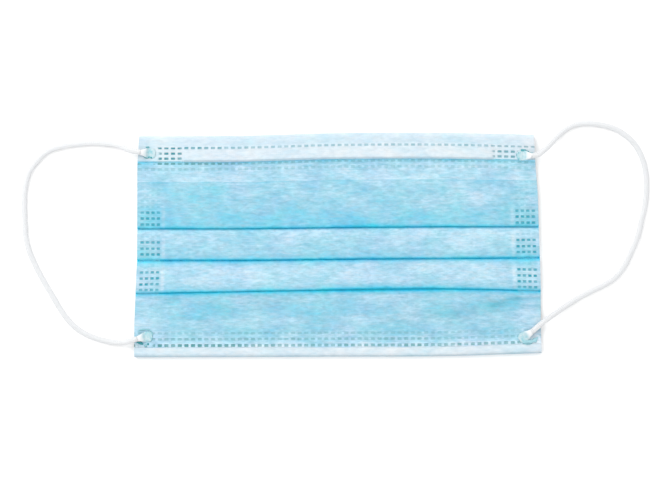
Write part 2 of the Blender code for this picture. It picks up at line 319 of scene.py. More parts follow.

# Tone of the blue sheet down each panel, from pale at 1 to a deep crease at 0, at millimetres down
# from the line named. Each panel ends at its fold's edge. The deep tones at each fold's edge and
# just below each line are partly the deeper colour of stacked plies and partly painted shade under
# the edge above.
TONES = {
    "hem_edge": (
        (0.00, 0.53), (0.80, 0.57), (1.60, 0.66), (2.60, 0.71), (9.30, 0.72), (9.65, 0.59),
        (10.1, 0.655), (12.0, 0.650), (18.0, 0.640), (22.0, 0.620), (25.5, 0.575), (28.5, 0.550),
        (29.0, 0.515), (29.5, 0.390), (29.8, 0.230), (30.1, 0.140),
    ),
    "fold_1": (
        (0.00, 0.16), (0.45, 0.30), (0.90, 0.58), (1.40, 0.68), (3.20, 0.70), (7.50, 0.67),
        (11.6, 0.62), (12.7, 0.575), (13.2, 0.46), (13.5, 0.27), (13.8, 0.14),
    ),
    "fold_2": (
        (0.00, 0.16), (0.50, 0.22), (0.95, 0.40), (1.40, 0.53), (2.00, 0.63), (3.20, 0.72),
        (9.00, 0.73), (11.2, 0.67), (12.3, 0.61), (12.9, 0.48), (13.2, 0.28), (13.5, 0.14),
    ),
    "fold_3": (
        (0.00, 0.16), (0.50, 0.25), (1.00, 0.43), (1.50, 0.54), (2.60, 0.645), (4.00, 0.640),
        (6.50, 0.600), (10.5, 0.605), (13.0, 0.675), (17.5, 0.645), (20.5, 0.675), (22.4, 0.700),
        (23.5, 0.755), (25.1, 0.830), (29.0, 0.830),
    ),
}

# Places where the web happens to be dense and pale, or thin and deep in colour, and a few of
# painted light and shade: the middle, how far each reaches across and up, and its tone.
WEB_AND_PAINTED_LIGHT_PATCHES = (
    # x       y        across  up      tone
    (-0.0840, -0.0300, 0.0080, 0.0130,  0.080),
    (0.0840,  -0.0300, 0.0080, 0.0120,  0.070),
    # Painted light over the cord's shadow beside the bottom-right end
    (0.0872,  -0.0395, 0.0040, 0.0050,  0.100),
    (0.0587,  -0.0030, 0.0200, 0.0060,  0.085),
    (0.0830,  -0.0120, 0.0070, 0.0050, -0.050),
    (0.0600,   0.0180, 0.0220, 0.0090,  0.045),
    (-0.0320,  0.0116, 0.0170, 0.0050, -0.055),
    (0.0010,   0.0125, 0.0130, 0.0050, -0.045),
    (0.0295,  -0.0255, 0.0140, 0.0045,  0.100),
    (-0.0320, -0.0250, 0.0130, 0.0045,  0.045),
    (0.0000,  -0.0120, 0.0130, 0.0040, -0.045),
    (-0.0560,  0.0245, 0.0180, 0.0045, -0.040),
    # These two deepen the edges of the last and the first fold: partly the plies' deeper colour,
    # partly painted shade
    (0.0207,  -0.0193, 0.0220, 0.0017, -0.200),
    (0.0165,   0.0086, 0.0220, 0.0010, -0.140),
    (-0.0089, -0.0303, 0.0120, 0.0035, -0.050),
    (0.0160,  -0.0364, 0.0100, 0.0030, -0.040),
    (-0.0830,  0.0345, 0.0080, 0.0025, -0.060),
    (0.0830,   0.0456, 0.0060, 0.0040,  0.040),
    (-0.0815,  0.0120, 0.0060, 0.0040, -0.055),
)

# Soft ridges and hollows pressed into the sheet below the last fold: both ends, half width,
# height, tone and how much more light they get. The tone and the light are painted shade along the
# hollows, and the tone is a painted highlight along the ridges.
CREASES_FROM_FOLD = 1 * MM
CREASES = (
    # x0       y0       x1       y1       half    height   tone   light
    (0.0520, -0.0305,  0.0700, -0.0262, 0.0032, -0.0003, -0.04, -0.07),
    (0.0680, -0.0266,  0.0783, -0.0235, 0.0021, -0.0005, -0.09, -0.09),
    (0.0790, -0.0233,  0.0900, -0.0236, 0.0006, -0.0004, -0.05, -0.08),
    (0.0790, -0.0219,  0.0900, -0.0219, 0.0006,  0.0004,  0.05,  0.00),
    (0.0800, -0.0250,  0.0900, -0.0256, 0.0006,  0.0004,  0.06,  0.00),
    (0.0810, -0.0266,  0.0900, -0.0272, 0.0006, -0.0003, -0.03, -0.08),
    (-0.0775, -0.0240, -0.0690, -0.0246, 0.0013, -0.0004, -0.08, -0.05),
    (-0.0560, -0.0275, -0.0460, -0.0292, 0.0026, -0.0003, -0.06, -0.05),
    (-0.0420, -0.0235, -0.0250, -0.0250, 0.0030, -0.0002, -0.02, -0.06),
    (0.0250, -0.0330,  0.0500, -0.0300, 0.0026, -0.0003, -0.02, -0.06),
)

# Where the cord's flat ends are welded: in from the side edge and from the top or bottom edge,
# and the heading in degrees in which the cord leaves.
WELDS = (
    # node                     side  edge           from_side  from_edge  heading
    ("loop_end_top_left",      -1,   "top_edge",    0.0043,    0.0075,    175.0),
    ("loop_end_top_right",      1,   "top_edge",    0.0047,    0.0092,     -4.0),
    ("loop_end_bottom_left",   -1,   "bottom_edge", 0.0046,    0.0089,    192.0),
    ("loop_end_bottom_right",   1,   "bottom_edge", 0.0068,    0.0076,     34.0),
)
# Film squeezed out round the welded ends: beads along points on the mask in millimetres, with
# their width and how dark the film is.
BEADS = {
    "loop_end_top_left": (
        (1.00, 1.0, ((-84.9, 38.5), (-84.1, 38.3), (-83.3, 38.0), (-82.5, 38.3), (-81.7, 38.3),
                     (-81.1, 38.0), (-80.6, 38.6))),
        (0.80, 0.6, ((-83.8, 42.5), (-82.9, 42.6), (-82.1, 42.5))),
        (1.00, 0.3, ((-84.2, 41.3), (-83.7, 41.0), (-83.2, 40.8))),
    ),
    "loop_end_top_right": (
        (1.40, 0.8, ((79.4, 40.6), (80.2, 41.1), (81.2, 41.2), (82.2, 40.8))),
        (0.90, 1.0, ((82.2, 40.9), (82.8, 40.5), (83.3, 40.3))),
        (0.60, 0.5, ((83.6, 40.2), (84.4, 40.1), (85.3, 40.1))),
        (0.90, 0.8, ((79.0, 40.7), (78.3, 39.9), (78.1, 39.1), (78.4, 38.4))),
        (0.50, 0.5, ((78.5, 37.8), (78.6, 37.1))),
    ),
    "loop_end_bottom_left": (
        (0.75, 0.3, ((-87.4, -37.6), (-86.0, -37.0), (-84.1, -36.8), (-82.3, -37.0),
                     (-81.1, -38.3), (-81.1, -40.0), (-81.4, -41.5), (-81.8, -42.3))),
        # This deep bead below the end is partly melted film and partly painted shadow of the end
        (1.40, 0.9, ((-88.0, -42.2), (-86.9, -42.4), (-85.9, -42.8), (-84.8, -43.3))),
        (1.20, 0.3, ((-84.4, -43.6), (-83.8, -43.9), (-83.2, -44.1))),
        (0.80, 1.0, ((-83.1, -42.9), (-82.8, -43.2), (-82.4, -43.5))),
    ),
    "loop_end_bottom_right": (
        (2.40, 0.0, ((80.2, -40.9), (81.2, -41.8), (82.6, -42.3), (84.2, -42.1), (85.8, -41.4),
                     (87.3, -39.9))),
        (0.40, 0.3, ((80.8, -42.8), (82.3, -43.3), (84.4, -43.1))),
    ),
}
# A bead's height over its base, how far it sinks in the cloth, its least half width, its lumps
# in waves per metre, and which part of its length, as 1 in so many, each end takes to thin out.
BEAD_HEIGHT = 0.22 * MM
BEAD_BASE = 0.18 * MM
BEAD_SINK = 0.04 * MM
BEAD_LEAST = 0.02 * MM
BEAD_LUMPS = 1300
BEAD_TAPERS = 5
BEAD_STEPS = 24
BEAD_SIDES = 10
HEM_STEP = 0.5 * MM

# The cords, with soft lumps along them in waves per metre, and their ends pressed flat and
# welded on: from which share of its length an end is flat and from which it is fused.
CORD_DIAMETER = 0.0024
CORD_REST_GAP = 0.00005
CORD_CURVE_STEPS = 40
CORD_LUMPS = 260
CORD_EVEN = 0.98
CORD_UNEVEN = 0.035
PRESSED_THICKNESS = 0.45 * MM
END_LENGTH = 0.0064
END_WIDTH = 0.0044
END_THICKNESS = 0.0009
END_CENTRE = 0.45
END_FLAT_FROM = 0.35
END_FLAT_RUN = 0.2
END_FUSED_FROM = 0.15
END_FUSED_RUN = 0.40
END_RAGGED = 0.06
END_SECTIONS = (
    # along  width  thickness  corner
    (0.00,   0.00,  0.00,      2.0),
    (0.18,   0.25,  0.30,      2.2),
    (0.36,   0.75,  0.80,      2.6),
    (0.52,   1.00,  1.00,      3.0),
    (0.78,   1.00,  1.00,      3.0),
    (0.92,   0.70,  1.10,      2.8),
    (1.00,  -0.10,  1.30,      2.4),
)

# The loops' routes as they lie: the place of the cord's middle and how far it is lifted.
LEFT_ROUTE = (
    # x, y, lift
    (-0.0908, 0.0414, 0.0032), (-0.0945, 0.0429, 0.0018), (-0.0989, 0.0438, 0.0005),
    (-0.1063, 0.0444, 0.0000), (-0.1137, 0.0439, 0.0000), (-0.1198, 0.0430, 0.0000),
    (-0.1250, 0.0415, 0.0000), (-0.1288, 0.0391, 0.0000), (-0.1318, 0.0358, 0.0000),
    (-0.1344, 0.0322, 0.0000), (-0.1359, 0.0277, 0.0000), (-0.1367, 0.0225, 0.0000),
    (-0.1368, 0.0168, 0.0000), (-0.1366, 0.0107, 0.0000), (-0.1362, 0.0041, 0.0000),
    (-0.1348, -0.0022, 0.0000), (-0.1320, -0.0088, 0.0000), (-0.1282, -0.0160, 0.0000),
    (-0.1247, -0.0219, 0.0000), (-0.1213, -0.0277, 0.0000), (-0.1180, -0.0323, 0.0000),
    (-0.1144, -0.0360, 0.0000), (-0.1097, -0.0390, 0.0000), (-0.1046, -0.0410, 0.0000),
    (-0.0992, -0.0423, 0.0001), (-0.0943, -0.0426, 0.0011), (-0.0912, -0.0420, 0.0020),
)
RIGHT_ROUTE = (
    # x, y, lift
    (0.0872, 0.0394, 0.0037), (0.0897, 0.0412, 0.0032), (0.0923, 0.0436, 0.0022),
    (0.0958, 0.0474, 0.0008), (0.1000, 0.0508, 0.0000), (0.1045, 0.0526, 0.0000),
    (0.1100, 0.0529, 0.0000), (0.1159, 0.0521, 0.0000), (0.1215, 0.0503, 0.0000),
    (0.1262, 0.0472, 0.0000), (0.1297, 0.0435, 0.0000), (0.1322, 0.0389, 0.0000),
    (0.1338, 0.0338, 0.0000), (0.1345, 0.0284, 0.0000), (0.1345, 0.0229, 0.0000),
    (0.1339, 0.0172, 0.0000), (0.1324, 0.0106, 0.0000), (0.1307, 0.0036, 0.0000),
    (0.1280, -0.0028, 0.0000), (0.1248, -0.0094, 0.0000), (0.1207, -0.0144, 0.0000),
    (0.1160, -0.0175, 0.0000), (0.1106, -0.0201, 0.0000), (0.1049, -0.0231, 0.0000),
    (0.0994, -0.0266, 0.0004), (0.0941, -0.0302, 0.0015), (0.0895, -0.0335, 0.0024),
)

highest_bend = min(LINE_BENDS["top_edge"])
lowest_bend = max(LINE_BENDS["bottom_edge"])
TOP_EVEN_Y = BODY_HEIGHT * (1 + lowest_bend + highest_bend) / 2


def linear(hex_colour, share=1.0):
    """An sRGB hex colour as linear RGBA, or a share of its brightness."""
    channels = [int(hex_colour[place:place + 2], 16) / 255 for place in (1, 3, 5)]
    curve = [c / 12.92 if c <= 0.04045 else ((c + 0.055) / 1.055) ** 2.4 for c in channels]
    return (*(c * share for c in curve), 1.0)


class FaceMaskSizes(PropertyGroup):
    """Sizes of the cloth and the cords that a user may change."""

    wall: FloatProperty(
        name="Sheet thickness", description="Thickness of the three bonded plies, loosely laid",
        default=0.6 * MM, min=0.3 * MM, max=0.7 * MM, unit="LENGTH", precision=4)
    hem_wall: FloatProperty(
        name="Hem thickness", description="Thickness of the white strips folded over the edges",
        default=0.7 * MM, min=0.3 * MM, max=1.0 * MM, unit="LENGTH", precision=4)
    cord: FloatProperty(
        name="Cord diameter", description="Diameter of the elastic ear loops",
        default=CORD_DIAMETER, min=1.0 * MM, max=4.0 * MM, unit="LENGTH", precision=4)
    camera_height: FloatProperty(
        name="Camera height", description="Height of the camera above the floor",
        default=2.0, min=0.5, max=3.0, unit="LENGTH")


class FaceMaskColours(PropertyGroup):
    """Colours of the cloth, the welds and the cords."""

    melt: FloatVectorProperty(
        name="Melted blue film", description="Colour of the blue sheet where it is welded",
        default=linear("#0EAAC2", SEEN)[:3], size=3, subtype="COLOR", min=0.0, max=1.0)
    row_melt: FloatVectorProperty(
        name="Melted blue rows", description="Colour of the blue sheet in the rows across it",
        default=linear("#56A9AE", SEEN)[:3], size=3, subtype="COLOR", min=0.0, max=1.0)
    hem_melt: FloatVectorProperty(
        name="Melted white film", description="Colour of the white hem where it is welded",
        default=linear("#3C9CAC", SEEN)[:3], size=3, subtype="COLOR", min=0.0, max=1.0)
    elastic: FloatVectorProperty(
        name="Elastic", description="Colour of the ear loops",
        default=linear("#FAFCFE", SEEN * 1.09)[:3], size=3, subtype="COLOR", min=0.0, max=1.0)
    floor: FloatVectorProperty(
        name="Floor", description="Colour of the studio floor",
        default=linear("#F8F8F8")[:3], size=3, subtype="COLOR", min=0.0, max=1.0)


def smooth_step(share):
    """Turns shares from 0 to 1 into ones that start and end level."""
    share = np.clip(share, 0.0, 1.0)
    return share * share * (3 - 2 * share)


def quick_rise(share):
    """Turns shares from 0 to 1 into ones that start steeply and end level."""
    return share * (2 - share)


def smooth_curve(points, shares):
    """Reads a smooth curve through evenly spaced points at shares from 0 to 1 of its spans."""
    points = np.array(points, float).reshape(len(points), -1)
    padded = np.vstack([2 * points[0] - points[1], points, 2 * points[-1] - points[-2]])
    place = np.clip(shares, 0.0, 1.0) * (len(points) - 1)
    first = np.minimum(place.astype(int), len(points) - 2)
    part = (place - first)[:, None]
    before, start, end, after = (padded[first + step] for step in range(4))
    return (start * 2 + (end - before) * part
            + (before * 2 - start * 5 + end * 4 - after) * part ** 2
            + (start * 3 - before - end * 3 + after) * part ** 3) / 2


def line_y(line, across):
    """Height up the mask of a named line at a share across it."""
    drops = {"top_edge": 0.0, "bottom_edge": BODY_HEIGHT}
    for fold, name in enumerate(FOLD_NAMES):
        drops[name] = FIRST_FOLD_DROP + fold * FOLD_SPACING
    bend = smooth_curve(LINE_BENDS[line], np.array([across], float))[0, 0]
    return TOP_EVEN_Y - drops[line] - bend * BODY_HEIGHT


def side_x(side, y):
    """Places of the left (-1) or right (1) side edge at heights up the mask."""
    rows = np.array(SIDE_OUTLINE)
    column = 1 if side < 0 else 2
    down = (TOP_EVEN_Y - np.asarray(y)) / BODY_HEIGHT
    return side * np.interp(down, rows[:, 0], rows[:, column]) * BODY_WIDTH / 2


def place_across(across, y):
    """Places in X of shares across the mask at heights up it."""
    left = side_x(-1, y)
    return left + (side_x(1, y) - left) * across


def turn(centre_y, centre_z, radius, direction):
    """A half turn from the upper layer to the lower one, bulging toward +Y (1) or -Y (-1)."""
    places = []
    for step in range(TURN_STEPS + 1):
        angle = math.pi / 2 - math.pi * step / TURN_STEPS
        y = centre_y + direction * radius * math.cos(angle)
        places.append((y, centre_z + radius * math.sin(angle)))
    return places


def ramp(start, end, ease=smooth_step):
    """Places between two (y, z) places, on a slope that ends level."""
    shares = np.arange(1, RAMP_STEPS) / RAMP_STEPS
    return [(start[0] + (end[0] - start[0]) * share,
             start[1] + (end[1] - start[1]) * ease(share)) for share in shares]


def sheet_section(across):
    """The pleated sheet's middle from its top edge to its bottom edge, and where its lines are."""
    lift = FOLD_LIFT * (1 - abs(2 * across - 1) ** LIFT_POWER)
    top_y = line_y("top_edge", across)
    path = [(top_y - HEM_TURN, UNDER_HEM), (top_y - TOP_HEM_WIDTH, UNDER_HEM)]
    marks = {"hem_edge": 1}
    for name in FOLD_NAMES:
        fold_y = line_y(name, across)
        stack_start = (fold_y + PLEAT_DEPTH + LAYER_GAP, UPPER)
        ease = smooth_step if name == FOLD_NAMES[0] else quick_rise
        path.extend(ramp(path[-1], stack_start, ease))
        path.append(stack_start)
        fold_centre = fold_y + HALF_PLY + PLY_RADIUS
        path.extend(turn(fold_centre, (UPPER + PLY_MIDDLE) / 2 + lift, PLY_RADIUS, -1))
        marks[name + "_edge"] = len(path) - 1 - TURN_STEPS // 2
        hidden_centre = fold_y + PLEAT_DEPTH - HALF_PLY - PLY_RADIUS
        path.extend(turn(hidden_centre, (PLY_MIDDLE + PLY_LOWER) / 2, PLY_RADIUS, 1))
        path.append((fold_y, PLY_LOWER + lift))
        marks[name] = len(path) - 1
    chin_end = (path[-1][0] - CHIN_RUN, UNDER_HEM)
    path.extend(ramp(path[-1], chin_end))
    path.append(chin_end)
    bottom_end = line_y("bottom_edge", across) + HEM_TURN
    path.append((bottom_end + BOTTOM_ROWS_ZONE, UNDER_HEM))
    path.append((bottom_end, UNDER_HEM))
    marks["bottom_edge"] = len(path) - 1
    return path, marks


def top_hem_section(across):
    """The top strip's middle: front flap over the nose strip, round the edge, and back flap."""
    top_y = line_y("top_edge", across)
    past_end = abs(place_across(across, top_y)) - WIRE_LENGTH / 2 - WIRE_SIDE_CLEARANCE
    raise_here = WIRE_RAISE * (1 - smooth_step(past_end / WIRE_RUN_OUT))
    half_pocket = WIRE_WIDTH / 2 + WIRE_SIDE_CLEARANCE
    wire_y = top_y - WIRE_DROP
    hem_y = top_y - TOP_HEM_WIDTH
    path = [(hem_y, UPPER)]
    path.append((wire_y - half_pocket, UPPER + raise_here))
    path.append((wire_y, UPPER + raise_here))
    path.append((wire_y + half_pocket, UPPER + raise_here))
    high = (wire_y + half_pocket + WIRE_RUN_OUT, UPPER)
    path.extend(ramp(path[-1], high))
    path.append(high)
    path.extend(turn(top_y - HEM_TURN, MIDDLE, HEM_TURN_RADIUS, 1))
    path.append((hem_y, LOWER))
    return path, {"top_edge": len(path) - 2 - TURN_STEPS // 2}


def bottom_hem_section(across):
    """The bottom strip's middle: front flap, round the edge, and back flap."""
    bottom_y = line_y("bottom_edge", across)
    path = [(bottom_y + BOTTOM_HEM_WIDTH, UPPER)]
    path.extend(turn(bottom_y + HEM_TURN, MIDDLE, HEM_TURN_RADIUS, -1))
    path.append((bottom_y + BOTTOM_HEM_WIDTH, LOWER))
    return path, {"bottom_edge": 1 + TURN_STEPS // 2}


def spaced(needed, filler):
    """The needed places, and those of the filler that keep clear of them, in order."""
    places = np.unique(np.round(needed, 7))
    clear = [place for place in filler if np.abs(places - place).min() > LEAST_SPACING]
    return np.sort(np.concatenate([places, clear]))


def window(distance, flat, edge):
    """1 within the flat half width of a mark, falling to 0 at its edge."""
    return np.clip((edge - np.abs(distance)) / (edge - flat), 0.0, 1.0)


def even_shares():
    """Shares across the mask of the cloth's columns, closer together over the side welds."""
    fine = np.append(np.arange(0, SIDE_ZONE, SIDE_COLUMN_SPACING), CUT_EDGE)
    fine = np.sort(fine) / BODY_WIDTH
    columns = round((BODY_WIDTH - 2 * SIDE_ZONE) / COLUMN_SPACING)
    middle = np.linspace(SIDE_ZONE / BODY_WIDTH, 1 - SIDE_ZONE / BODY_WIDTH, columns)
    return np.concatenate([fine, middle, 1 - fine[::-1]])


def row_lines(centre, half):
    """Rows of vertices that bound a row of dashes: its outer and its inner edges."""
    return [centre - half - ROW_EDGE, centre - half, centre + half, centre + half + ROW_EDGE]


def row_mark(down, centre, half):
    """1 over a row of dashes, 0 away from it."""
    return window(down - centre, half, half + ROW_EDGE)


def row_strength(x, change, left, middle, right):
    """How strongly a row has melted at places across, from its strengths in three parts."""
    to_side = smooth_step((np.abs(x) / (BODY_WIDTH / 2) - ROW_MIDDLE) / change)
    return middle + (np.where(x < 0, left, right) - middle) * to_side


def smoothed_out(x, y):
    """0 where the horn of a welded end has smoothed the dashes out, 1 elsewhere."""
    kept = np.ones(x.shape)
    for centre_x, centre_y, radius in SMOOTHED:
        kept *= smooth_step((np.hypot(x - centre_x, y - centre_y) - radius) / MM)
    return kept


def web_and_painted_light_tone(x, y):
    """Tone added where the web happens to be dense or thin, and painted light and shade."""
    tone = np.zeros(x.shape)
    for centre_x, centre_y, reach_x, reach_y, shade in WEB_AND_PAINTED_LIGHT_PATCHES:
        tone += shade * np.exp(-((x - centre_x) / reach_x) ** 2 - ((y - centre_y) / reach_y) ** 2)
    return tone


def add_piece(build, name, *materials):
    """Turns a finished build into a smooth piece of the scene."""
    mesh = bpy.data.meshes.new(name)
    build.to_mesh(mesh)
    build.free()
    mesh.shade_smooth()
    for material in materials:
        mesh.materials.append(material)
    piece = bpy.data.objects.new(name, mesh)
    bpy.context.scene.collection.objects.link(piece)
    return piece


def lay_cloth(name, section, across, rows_from, finish):
    """Lays a strip of cloth on a grid: columns at shares across, rows down its own section.

    rows_from(along, marks) gives the rows as distances down the flat strip, from those of the
    section's own places and lines. finish(x, y, down, marks) gives each vertex's rise and its
    values in the mesh's attributes.
    """
    path, named = section(0.5)
    steps = np.linalg.norm(np.diff(np.array(path), axis=0), axis=1)
    along = np.concatenate([[0.0], np.cumsum(steps)])
    marks = {key: along[index] for key, index in named.items()}
    rows = rows_from(along, marks)
    y = np.empty((len(rows), len(across)))
    z = np.empty_like(y)
    for column, share in enumerate(across):
        places = np.array(section(share)[0])
        y[:, column] = np.interp(rows, along, places[:, 0])
        z[:, column] = np.interp(rows, along, places[:, 1])
    x = place_across(np.asarray(across)[None, :], y)
    down = np.repeat(rows[:, None], len(across), axis=1)
    rise, values = finish(x, y, down, marks)
    z += rise
    values["from_side"] = np.minimum(x - side_x(-1, y), side_x(1, y) - x)
    build = bmesh.new()
    bmesh.ops.create_grid(
        build, x_segments=len(across) - 1, y_segments=len(rows) - 1, size=0.5)
    cloth_uv = build.loops.layers.uv.new(CLOTH_UV)
    layers = {key: build.verts.layers.float.new(key) for key in values}
    middle_x = place_across(np.asarray(across), 0.0)
    for vertex in build.verts:
        column = round((vertex.co.x + 0.5) * (len(across) - 1))
        row = round((0.5 - vertex.co.y) * (len(rows) - 1))
        for key, layer in layers.items():
            vertex[layer] = values[key][row, column]
        vertex.co = (x[row, column], y[row, column], z[row, column])
        for loop in vertex.link_loops:
            loop[cloth_uv].uv = (middle_x[column], -rows[row])
    if y[1].mean() > y[0].mean():
        bmesh.ops.reverse_faces(build, faces=build.faces)
    return add_piece(build, name), along[-1]


def give_wall(piece, thickness, front, back, edge):
    """Gives cloth its thickness, with a material for each face and one for the cut edge."""
    for material in (front, back, edge):
        piece.data.materials.append(material)
    wall = piece.modifiers.new("Wall", "SOLIDIFY")
    wall.thickness = thickness
    wall.offset = 0.0
    wall.use_even_offset = True
    wall.material_offset = 1
    wall.material_offset_rim = 2


def sheet_rows(along, marks):
    """Rows of the pleated sheet: its section's own, those of the welds, and fillers between."""
    needed = list(along)
    for line, below, half, *_ in SHEET_ROWS:
        needed.extend(row_lines(marks[line] + below, half))
    for line, side_rows in SIDE_ROWS.items():
        for above, _ in side_rows:
            needed.extend(row_lines(marks[line + "_edge"] - above * MM, SIDE_ROW_HALF))
    for line, tones in TONES.items():
        needed.extend(marks[line] + below * MM for below, _ in tones)
    needed = [place for place in needed if place <= along[-1]]
    filler = np.arange(0, along[-1], ROW_SPACING)
    for name in FOLD_NAMES:
        hidden = (filler > marks[name + "_edge"]) & (filler < marks[name])
        filler = filler[~hidden]
    return spaced(needed, filler)


def soft_noise(x, y, size_x, size_y, seed):
    """Soft noise from -1 to 1 over places on the mask, with lumps of the given size."""
    flat = [noise.noise(Vector((a / size_x, b / size_y, seed))) for a, b in zip(x.flat, y.flat)]
    return np.array(flat).reshape(x.shape)


def sheet_finish(x, y, down, marks):
    """Rise of the pleated sheet's vertices off the even fold, its tone with painted shade at the
    folds, the painted light in its colour, and where it is welded.
    """
    from_side = np.minimum(x - side_x(-1, y), side_x(1, y) - x)
    tone = np.full(x.shape, PLAIN_TONE)
    # Painted light and shade in the cloth's colour, kept as the through attribute
    through = np.zeros(x.shape)
    # Tone down each panel, with painted shade at the folds' edges
    for line in TONES:
        below, tones = np.array(TONES[line]).T
        below_line = down - marks[line]
        read = np.interp(below_line, below * MM, tones)
        tone = np.where(below_line >= 0, read, tone)
        # Painted light in the shade below the line
        strength, reach = PAINTED_LIGHT_BELOW_LINES[line]
        light = strength * np.exp(-np.maximum(below_line, 0) / reach)
        through += np.where(below_line >= 0, light, 0)
    # Painted light in the shade above the bottom strip
    above_hem = marks["bottom_edge"] - (BOTTOM_HEM_WIDTH - HEM_TURN) - down
    through += np.where(above_hem >= 0, PAINTED_LIGHT_AT_HEM * np.exp(-above_hem / HEM_SHADE), 0)
    tone += web_and_painted_light_tone(x, y)
    dash_row = np.zeros(x.shape)
    for line, below, half, *strengths in SHEET_ROWS:
        dash_row += row_mark(down, marks[line] + below, half) * row_strength(
            x, SHEET_ROW_CHANGE, *strengths)
    dash_row *= smoothed_out(x, y)
    side_row = np.zeros(x.shape)
    beside_grid = np.zeros(x.shape)
    grid = smooth_step((SIDE_GRID_END - from_side) / SIDE_GRID_FADES[1])
    grid *= smooth_step((from_side - SIDE_GRID_START) / SIDE_GRID_FADES[0])
    for line, side_rows in SIDE_ROWS.items():
        for above, strength in side_rows:
            place = marks[line + "_edge"] - above * MM
            side_row += row_mark(down, place, SIDE_ROW_HALF) * strength * grid
            beside_grid += strength ** 2 * np.exp(-((down - place) / SIDE_PITCH) ** 2)
    tone = np.maximum(tone, PRESSED_TONE * grid)
    # Painted highlight along the puffed ridge beside the grid
    ridge = np.exp(-((from_side - RIDGE_FROM_SIDE) / RIDGE_REACH) ** 2)
    tone += RIDGE_HIGHLIGHT * ridge * np.minimum(beside_grid, 1.0)
    below_hem = TOP_EVEN_Y - TOP_HEM_WIDTH - y
    above_bottom = y - (TOP_EVEN_Y - BODY_HEIGHT) - LOOSE_FROM_BOTTOM
    loose = smooth_step((from_side - LOOSE_FROM_SIDE) / LOOSE_SIDE_FADE)
    loose *= smooth_step(below_hem / LOOSE_TOP_FADE)
    loose *= smooth_step(above_bottom / LOOSE_BOTTOM_FADE)
    waves = sum(share * soft_noise(x, y, *wave) for *wave, share in WAVES)
    rise = loose * UNDULATION * (0.5 + 0.5 * waves)
    chin = down > marks["fold_3"] + CREASES_FROM_FOLD
    for x0, y0, x1, y1, half, height, shade, light in CREASES:
        run_x, run_y = x1 - x0, y1 - y0
        share = ((x - x0) * run_x + (y - y0) * run_y) / (run_x ** 2 + run_y ** 2)
        share = np.clip(share, 0.0, 1.0)
        away = np.hypot(x - x0 - share * run_x, y - y0 - share * run_y)
        pressed = np.exp(-(away / half) ** 2) * chin
        # Painted shade along the hollows and painted highlight along the ridges, in their tone and
        # light
        rise += pressed * height
        tone += pressed * shade
        through += pressed * light
    return rise, {
        "tone": tone, "dash_row": dash_row, "side_row": side_row, "through": through}


def hem_rows(along, marks):
    """Rows of the top strip: its section's own, those of its welds, and fillers between."""
    needed = list(along)
    needed.extend((CUT_EDGE, along[-1] - CUT_EDGE))
    for drop, half, *_ in HEM_ROWS:
        needed.extend(row_lines(marks["top_edge"] - drop - TURN_EXTRA, half))
    return spaced(needed, np.arange(0, along[-1], ROW_SPACING))


def hem_finish(x, y, down, marks):
    """The top strip's tone and where it is welded."""
    drop = marks["top_edge"] - down - TURN_EXTRA
    drops, tones = np.array(HEM_TONES).T
    tone = np.interp(drop, drops * MM, tones) + web_and_painted_light_tone(x, y)
    dash_row = np.zeros(x.shape)
    stop = WIRE_LENGTH / 2 + WIRE_SIDE_CLEARANCE + WIRE_RUN_OUT
    past_wire = (np.abs(x) > stop) & (np.abs(x) < stop + WIRE_STOP_DASHES * DASH_PITCH)
    for row_drop, half, left, middle, right, runs_across in HEM_ROWS:
        strength = row_strength(x, HEM_ROW_CHANGE, left, middle, right)
        if not runs_across:
            strength = strength * past_wire
        dash_row += row_mark(drop, row_drop, half) * strength
    dash_row *= smoothed_out(x, y)
    return np.zeros(x.shape), {"tone": tone, "dash_row": dash_row, "side_row": 0 * dash_row}


def bottom_hem_rows(along, marks):
    """Rows of the bottom strip."""
    needed = (*along, CUT_EDGE, along[-1] - CUT_EDGE)
    return spaced(needed, np.arange(0, along[-1], 0.5 * ROW_SPACING))


def bottom_hem_finish(x, y, down, marks):
    """The bottom strip's tone: palest along its top, greyer with painted shade as it turns under.
    """
    above, tones = np.array(BOTTOM_HEM_TONES).T
    place = marks["bottom_edge"] - down
    tone = np.interp(place, above * MM, tones)
    # Painted shade on the turned edge, darkening its colour
    rim = PAINTED_RIM_SHADE * (1 - smooth_step((np.abs(place) - RIM_HALF) / RIM_FADE))
    nothing = np.zeros(x.shape)
    return nothing, {"tone": tone, "dash_row": nothing, "side_row": nothing, "through": rim}


def wire_section(across):
    """The nose strip's middle, between the sheet and the top hem's front flap."""
    wire_y = line_y("top_edge", across) - WIRE_DROP
    wire_z = MIDDLE + SOLID_WALL / 2 + LAYER_GAP + WIRE_THICKNESS / 2
    return [(wire_y - WIRE_WIDTH / 2, wire_z), (wire_y + WIRE_WIDTH / 2, wire_z)], {}


def plain_rows(along, marks):
    """Only the section's own rows."""
    return along


def plain_finish(x, y, down, marks):
    """No relief, and an even tone."""
    return np.zeros(x.shape), {"tone": np.ones(x.shape)}


def add_node(tree, kind, inputs, **settings):
    """Adds a shader node. Its inputs are numbers, outputs, or nodes for their first output."""
    node = tree.nodes.new("ShaderNode" + kind)
    for name, value in settings.items():
        setattr(node, name, value)
    for key, value in inputs.items():
        if isinstance(value, bpy.types.Node):
            value = value.outputs[0]
        if isinstance(value, bpy.types.NodeSocket):
            tree.links.new(value, node.inputs[key])
        else:
            node.inputs[key].default_value = value
    return node


def new_material(name, roughness, ior=1.5):
    """A material with its principled shader's roughness and index of refraction set."""
    material = bpy.data.materials.new(name)
    material.use_nodes = True
    shader = material.node_tree.nodes["Principled BSDF"]
    shader.inputs["Roughness"].default_value = roughness
    shader.inputs["IOR"].default_value = ior
    return material, material.node_tree, shader


